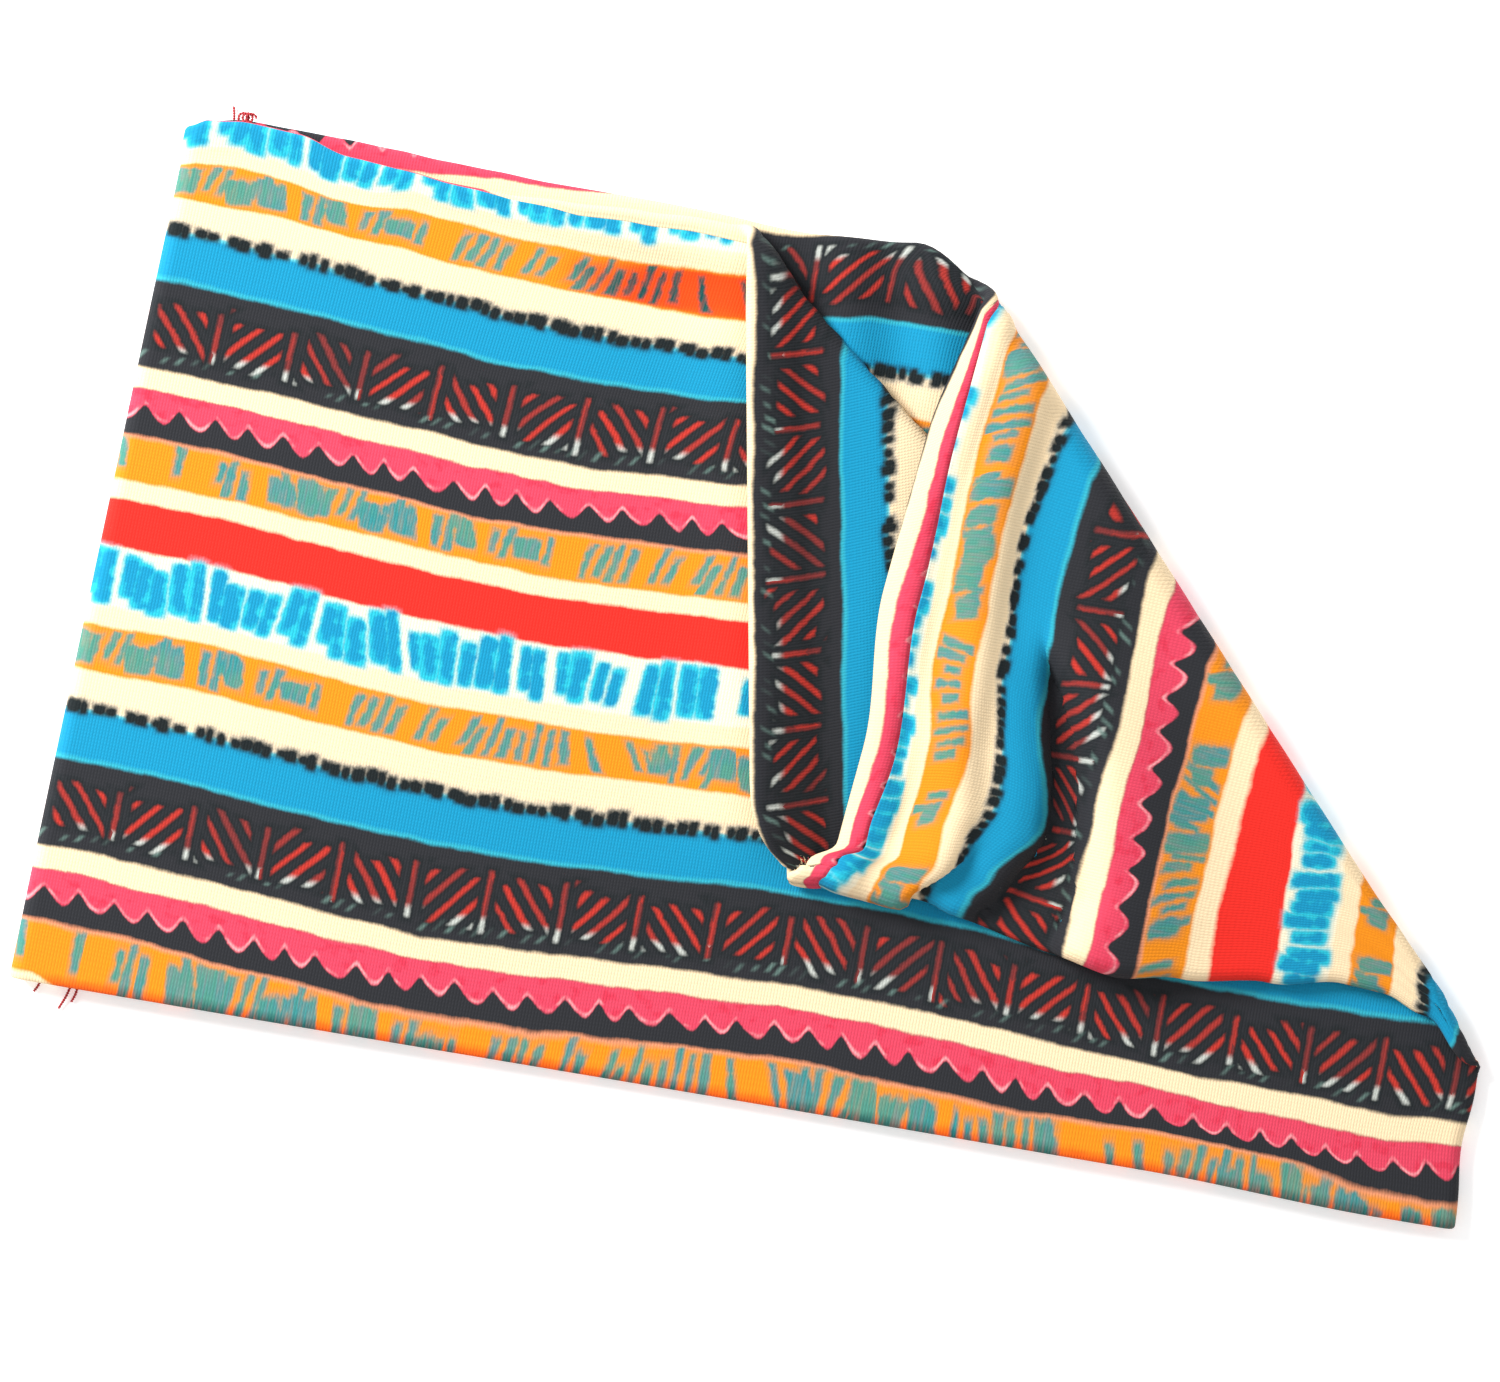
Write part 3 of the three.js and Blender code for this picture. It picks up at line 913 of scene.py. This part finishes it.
def orange_marks(tree, place, colour):
    """Teal marks on both orange bands, in two rows that don't repeat each other."""
    lower, upper = ORANGE_MIDDLES
    half_band, upper_shift, wide_lean = 4.4, 41.0, 0.2
    is_upper = place.level > REPEAT * 0.4
    level = place.level - is_upper * (upper - lower)
    across = place.across + is_upper * upper_shift
    in_orange = tree.inside(abs(level - lower) - half_band, 0.5)
    lean = tree.noise(across, 5.0, 30.0, 9.0) * 2.2
    thin, _ = stroke_row(tree, across, level, THIN_MARKS, lean)
    wide, _ = stroke_row(tree, across, level, WIDE_MARKS, wide_lean)
    ragged = place.fine * 0.4 + place.small * 1.3
    marks = tree.math("SMOOTH_MIN", thin, wide, 0.8) + ragged
    halo = tree.inside(marks - 0.8, 0.9) * in_orange
    colour = tree.mix(halo * 0.42, colour, HALO_TAN)
    hatch = tree.noise(across, level, 0.9, 5.0)
    teal = tree.mix(tree.step(place.broad + hatch, -0.2, 0.2), TEAL, GREY_TEAL)
    # Painted shade: the orange turns red-orange, and its teal marks darker, along the hem and in the front
    # wall's valley near the rim.
    deep = painted_shade_on_orange(tree, place)
    teal = tree.mix(deep, teal, SHADED_TEAL)
    colour = tree.mix(in_orange * deep, colour, SHADED_ORANGE)
    strength = 0.93 + hatch * 0.6
    return tree.mix(tree.inside(marks, 0.55) * in_orange * strength, colour, teal)


def painted_shade_on_orange(tree, place):
    """Where painted shade turns the orange a deeper red-orange: along the hem, and a patch of the front wall
    near the rim.
    """
    patch_across, patch_run, half_across, half_run, hem_width, hem_share = 108.0, 168.0, 30.0, 7.5, 1.7, 0.75
    sideways = (place.across - patch_across) * (1 / half_across)
    lengthways = (place.run - patch_run) * (1 / half_run)
    distance = sideways * sideways + lengthways * lengthways
    patch = tree.inside(distance + place.broad - 0.75, 0.6)
    hem = tree.inside(place.from_hem + place.small - hem_width, 1.3) * hem_share
    return tree.math("MAXIMUM", patch, hem)


def scallops(tree, place, colour):
    """The pink band's lower edge: round lobes over the black, with a pale outline."""
    pitch, depth, top, rounding, slant, skew = 7.2, 2.9, 18.5, 0.09, 0.15, 0.1
    wander = tree.noise(place.across, 3.0, 12.0, 5.0, detail=0.0) * 2.6
    phase = (place.across + wander + place.level * slant) * (math.pi / pitch)
    wave = tree.math("SINE", phase + tree.math("COSINE", phase * 2.0) * skew)
    round_wave = tree.math("SQRT", wave * wave + rounding)
    lobe = share_between(round_wave, math.sqrt(rounding), math.sqrt(1 + rounding))
    below = top - lobe * depth - place.level
    in_band = tree.inside(place.level - PINK_TOP, BLEED / 2)
    pink = tree.mix(tree.step(place.small, 0.0, 0.25), PINK, DEEP_PINK)
    colour = tree.mix(tree.inside(below, 0.35) * in_band, colour, pink)
    outline = tree.inside(abs(below + 0.5) - 0.3, 0.45)
    strength = tree.step(wave * 0.12 + place.small, -0.2, 0.25)
    return tree.mix(outline * in_band * strength, colour, LIGHT_PINK)


def fan_strokes(tree, across, level):
    """Slanted strokes that lean one way and then the other, with an upright stroke between two groups.
    Returns the distance to the nearest, how bright it is, and where its tip is pale."""
    group_width, pitch, half_stroke, slope = 15.5, 3.35, 0.15, math.radians(50)
    half_upright, tip_from, tip_share = 0.5, 4.0, 0.7
    share = across * (1 / group_width)
    group = tree.math("FLOOR", share)
    place = (tree.fraction(share) - 0.5) * group_width
    leans = tree.math("FLOORED_MODULO", group, 2.0) * 2.0 - 1.0
    height = level - 35.6
    side = height * math.cos(slope) - place * leans * math.sin(slope)
    row = side * (1 / pitch)
    first, second, third = tree.random(tree.math("FLOOR", row) + group * 7.0, 3.5)[:3]
    sideways = abs((tree.fraction(row) - 0.5) * pitch) - (second + 3.0) * half_stroke
    from_middle = abs(place)
    ends = from_middle - (6.2 - first * 1.6)
    top = height - (6.0 - third * 3.0)
    bottom = height * -1.0 - (6.8 - first * 2.6)
    slanted = tree.larger(sideways, tree.larger(ends, tree.math("MAXIMUM", top, bottom), 0.8), 1.0)
    fourth = tree.random(tree.math("ROUND", share), 91.5)[0]
    upright_side = group_width / 2 - from_middle - half_upright
    upright_ends = abs(height + 0.6) - (6.4 - fourth * 1.6)
    upright = tree.larger(upright_side, upright_ends, 1.0)
    distance = tree.math("MINIMUM", slanted, upright)
    group_light = tree.random(group, 57.5)[0]
    bright = third * 0.7 + group_light * 0.45 - (upright < slanted) * 0.4
    tip = tree.inside(height + tip_from, 0.9) * (second > 1 - tip_share)
    return distance, bright, tip


def fans(tree, place, colour):
    """The wide black band's fans of strokes, and a row of faint flecks under them."""
    half_band, fleck_lean = 8.4, -0.7
    distance, bright, tip = fan_strokes(tree, place.across + place.small * 0.4, place.level)
    in_black = tree.inside(abs(place.level - FANS_MIDDLE) - half_band, 0.4)
    halo = tree.inside(distance - 0.8, 1.0) * in_black
    colour = tree.mix(halo * 0.85, colour, GREEN_BLACK)
    ink = tree.mix(tree.step(bright, 0.05, 0.8), DIM_RED, STROKE_RED)
    ink = tree.mix(tip, ink, TIP_WHITE)
    stroke = tree.inside(distance + place.fine * 0.35, 0.42)
    colour = tree.mix(stroke * in_black, colour, ink)
    flecks, own = stroke_row(tree, place.across, place.level, FLECKS, fleck_lean)
    return tree.mix(tree.inside(flecks, 0.5) * in_black * own, colour, FLECK)


def dashes(tree, place, colour):
    """Black dashes along the top of the blue band, some of them run together."""
    distance, _ = double_row(tree, place.across + place.small * 0.5, place.level, DASHES)
    distance = distance + place.fine * 0.4
    colour = tree.mix(tree.inside(distance - 0.5, 0.7) * 0.45, colour, SHADOW_BLUE)
    return tree.mix(tree.inside(distance, 0.5), colour, GREEN_BLACK)


def brush_marks(tree, place, colour):
    """Upright blue brush marks on white, in loose groups."""
    lean = tree.noise(place.across, 37.0, 26.0, 9.0, detail=0.0) * 0.9
    distance, own = double_row(tree, place.across + place.small * 0.7, place.level, BRUSH_MARKS, lean)
    distance = distance + place.fine * 0.4
    colour = tree.mix(tree.inside(distance - 0.5, 0.8) * 0.7, colour, CYAN)
    depth = own * 0.9 + place.small * 2.5 + 0.1
    ink = tree.mix(tree.inside(distance + depth, 0.6), BRIGHT_BLUE, BLUE)
    return tree.mix(tree.inside(distance, 0.45), colour, ink)


def knit_height(tree, across, run):
    """The knit's face, upright ribs of small loops, and how far a point is from the middle of its rib."""
    wale, course, loop_slant, loop_depth = 0.63, 0.70, 0.45, 0.22
    from_rib = abs(tree.fraction(across * (1 / wale)) - 0.5) * 2.0
    rib = 1.0 - from_rib * from_rib
    loop_place = run * (1 / course) + from_rib * loop_slant
    loop = tree.math("SINE", loop_place * (2 * math.pi))
    return rib * (loop * loop_depth + (1 - loop_depth)), from_rib


def jersey_print():
    """Printed jersey: plain bands, and rows of brush marks on them, over a fine knit with painted shade in
    its grooves.
    """
    tree = Tree("jersey")
    place = Place(tree)
    colour = plain_bands(tree, place)
    for marks in (orange_marks, scallops, fans, dashes, brush_marks):
        colour = marks(tree, place, colour)
    height, from_rib = knit_height(tree, place.across, place.run)
    # Painted shade: the colour is darker in the grooves between the knit's ribs. The fine noise is the yarn's
    # own heather.
    groove_shade = tree.math("POWER", from_rib, 4.0) * 0.10
    heather_and_groove_shade = 0.99 + place.fine * 0.10 - groove_shade
    tree.set_bump(height + place.fine * 0.6, strength=0.5, distance=0.00015)
    tree.feed(tree.shader, {
        "Base Color": tree.mix(1.0, colour, heather_and_groove_shade, "MULTIPLY"),
        "Roughness": 0.8 + place.fine * 0.2,
        "Sheen Weight": 0.03,
        "Specular IOR Level": 0.15,
    })
    return tree.material


def thread_material():
    """Dark red sewing thread: fine fibres along a twisted yarn."""
    tree = Tree("seam_thread")
    place = tree.output("TexCoord", {}, "Object")
    noise = tree.output("TexNoise", {"Scale": 2500, "Vector": place})
    tree.set_bump(noise, strength=0.5, distance=0.00005)
    colour = tree.mix(noise, DEEP_THREAD_RED, THREAD_RED)
    tree.feed(tree.shader, {"Base Color": colour, "Roughness": 0.6, "Sheen Weight": 0.2})
    return tree.material


# ---- Seams and thread ends


def seam_ribbon(name, columns, low, high, material):
    """An overlocked edge as a thin closed ribbon in the middle of the wall, between two heights."""
    half, rows = 0.2, 6
    up = low + (high - low) * np.linspace(0, 1, rows)[:, None] + 0 * columns
    column = np.broadcast_to(columns, up.shape)
    outer, inner = (cloth_point(column, up, np.full(up.shape, lift)) for lift in (half, -half))
    return closed_ply(name, outer, inner, np.stack([column, up], axis=-1), up, material)


def thread_line(corners):
    """An even, smooth line through a few points, in millimetres."""
    steps, smoothings = 24, 60
    corners = np.array(corners, float)
    places = np.linspace(0, len(corners) - 1, steps * (len(corners) - 1))
    line = np.stack([np.interp(places, np.arange(len(corners)), corners[:, k]) for k in range(3)], axis=1)
    for _ in range(smoothings):
        line[1:-1] = (line[:-2] + 2 * line[1:-1] + line[2:]) / 4
    return line


def thread_piece(name, corners, material):
    """Two strands twisted round each other along a line."""
    strand, sides, twist_length = 0.16, 8, 1.1
    line = thread_line(corners)
    forward = np.gradient(line, axis=0)
    forward /= np.linalg.norm(forward, axis=1, keepdims=True)
    sideways = np.cross(forward, (0.0, 0.0, 1.0))
    sideways /= np.linalg.norm(sideways, axis=1, keepdims=True)
    upward = np.cross(sideways, forward)
    run = np.concatenate([[0], np.cumsum(np.linalg.norm(np.diff(line, axis=0), axis=1))])
    angles = 2 * math.pi * np.arange(sides)[:, None] / sides
    spokes = np.cos(angles) * sideways[:, None] + np.sin(angles) * upward[:, None]
    points, faces = [], []
    for number in range(2):
        twist = (2 * math.pi * run / twist_length + number * math.pi)[:, None]
        centre = line + strand * (np.cos(twist) * sideways + np.sin(twist) * upward)
        first = len(points)
        points += ((centre[:, None] + strand * spokes) * MM).reshape(-1, 3).tolist()
        for a in range(first, len(points) - sides):
            b = a + 1 if (a + 1 - first) % sides else a + 1 - sides
            faces.append((a, b, b + sides, a + sides))
        faces.append(tuple(range(first, first + sides))[::-1])
        faces.append(tuple(range(len(points) - sides, len(points))))
    piece = add_piece(name, points, faces, material)
    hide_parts(name)


def box_corners(node):
    return (np.array(corner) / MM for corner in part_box(node))


def straight_thread(node, material):
    """A thread end from the cloth's edge outwards, along the diagonal of its place in the frame."""
    in_the_seam, side_gap, start_height, bow_height, end_height = 0.6, 0.2, 0.7, 0.9, 0.5
    low, high = box_corners(node)
    at_hem = high[1] < 0
    start_y, end_y = (high[1] + in_the_seam, low[1]) if at_hem else (low[1] - in_the_seam, high[1])
    start = (high[0] - side_gap, start_y, start_height)
    end = (low[0] + side_gap, end_y, end_height)
    bowed = ((start[0] + end[0]) / 2 + 0.25, (start_y + end_y) / 2, bow_height)
    thread_piece(node, [start, bowed, end], material)


def curled_thread(node, material):
    """A thread end that has sprung into loops along the rim."""
    loops, loop_steps, gap, lift, start_height, loop_height, climb = 2.5, 8, 0.22, 0.6, 3.4, 4.6, 0.8
    low, high = box_corners(node)
    radius = (high[1] - low[1]) / 2 - gap
    centre_y = high[1] - radius + lift
    travel = high[0] - low[0] - 2 * radius - 2 * gap
    corners = [(low[0] + 0.3, low[1] - 0.5, start_height)]
    for share in np.linspace(0, 1, int(loops * loop_steps) + 1):
        angle = math.pi - 2 * math.pi * loops * share
        x = low[0] + radius + gap + share * travel + radius * math.cos(angle)
        corners.append((x, centre_y + radius * math.sin(angle), loop_height + climb * share))
    thread_piece(node, corners, material)


# ---- The gaiter

jersey = jersey_print()

pieces = [
    shell_piece("outer_shell_front", SEAM_COLUMN - GIRTH, WIDTH, jersey),
    shell_piece("outer_shell_back", WIDTH, SEAM_COLUMN, jersey),
    lining_piece("inner_lining_front", SEAM_COLUMN - GIRTH, WIDTH, jersey),
    lining_piece("inner_lining_back", WIDTH, SEAM_COLUMN, jersey),
]
shell_front, shell_back, lining_front, lining_back = pieces
FRONT_WALLS = ("front", "turned_front", "front_fold", "left_side", "right_side", "flap_side")


def nodes_of(cloth, is_front):
    named = [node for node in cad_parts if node.startswith(cloth)]
    return [node for node in named if (node.split("_", 1)[1] in FRONT_WALLS) == is_front]


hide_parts(*nodes_of("shell_", True), "hem_front", "rim_front", "rim_turned_front")
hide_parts(*nodes_of("shell_", False), "hem_back", "rim_back", "rim_flap")
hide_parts(*nodes_of("lining_", True))
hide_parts(*nodes_of("lining_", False))

# The overlocked edges inside the seams. They keep clear of the side folds and of each other.
RIM_ALLOWANCE = (6.5, 2.5)  # below the rim seam, from and to
CLOSING_ALLOWANCE = (6, 2)  # before the closing seam, from and to
FOLD_GAP = 3

red_thread = thread_material()


def rim_overlock(name, low, high):
    columns = column_stations(low, high)[::2]
    seam = HEIGHT - wrap(columns)
    return seam_ribbon(name, columns, *(seam - below for below in RIM_ALLOWANCE), red_thread)


overlock_front = rim_overlock("rim_overlock_front", SEAM_COLUMN - GIRTH + 1.5, WIDTH - FOLD_GAP)
overlock_back = rim_overlock("rim_overlock_back", WIDTH + FOLD_GAP, SEAM_COLUMN - 7.5)
closing_columns = np.linspace(*(SEAM_COLUMN - before for before in CLOSING_ALLOWANCE), 6)
closing_overlock = seam_ribbon("closing_overlock", closing_columns, 1.6, HEIGHT - 12.0, red_thread)
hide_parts("rim_seam_front", "rim_seam_turned_front")
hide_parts("rim_seam_back", "rim_seam_flap")
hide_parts("closing_seam")

for node in ("thread_hem_corner", "thread_hem_long", "thread_hem_short", "thread_rim_long"):
    straight_thread(node, red_thread)
curled_thread("thread_rim_curl", red_thread)

for piece in pieces:
    is_shell = piece in (shell_front, shell_back)
    is_front = piece in (shell_front, lining_front)
    flat_width = (GIRTH - SEAM_COLUMN + WIDTH) if is_front else (SEAM_COLUMN - WIDTH)
    flat_width * MM
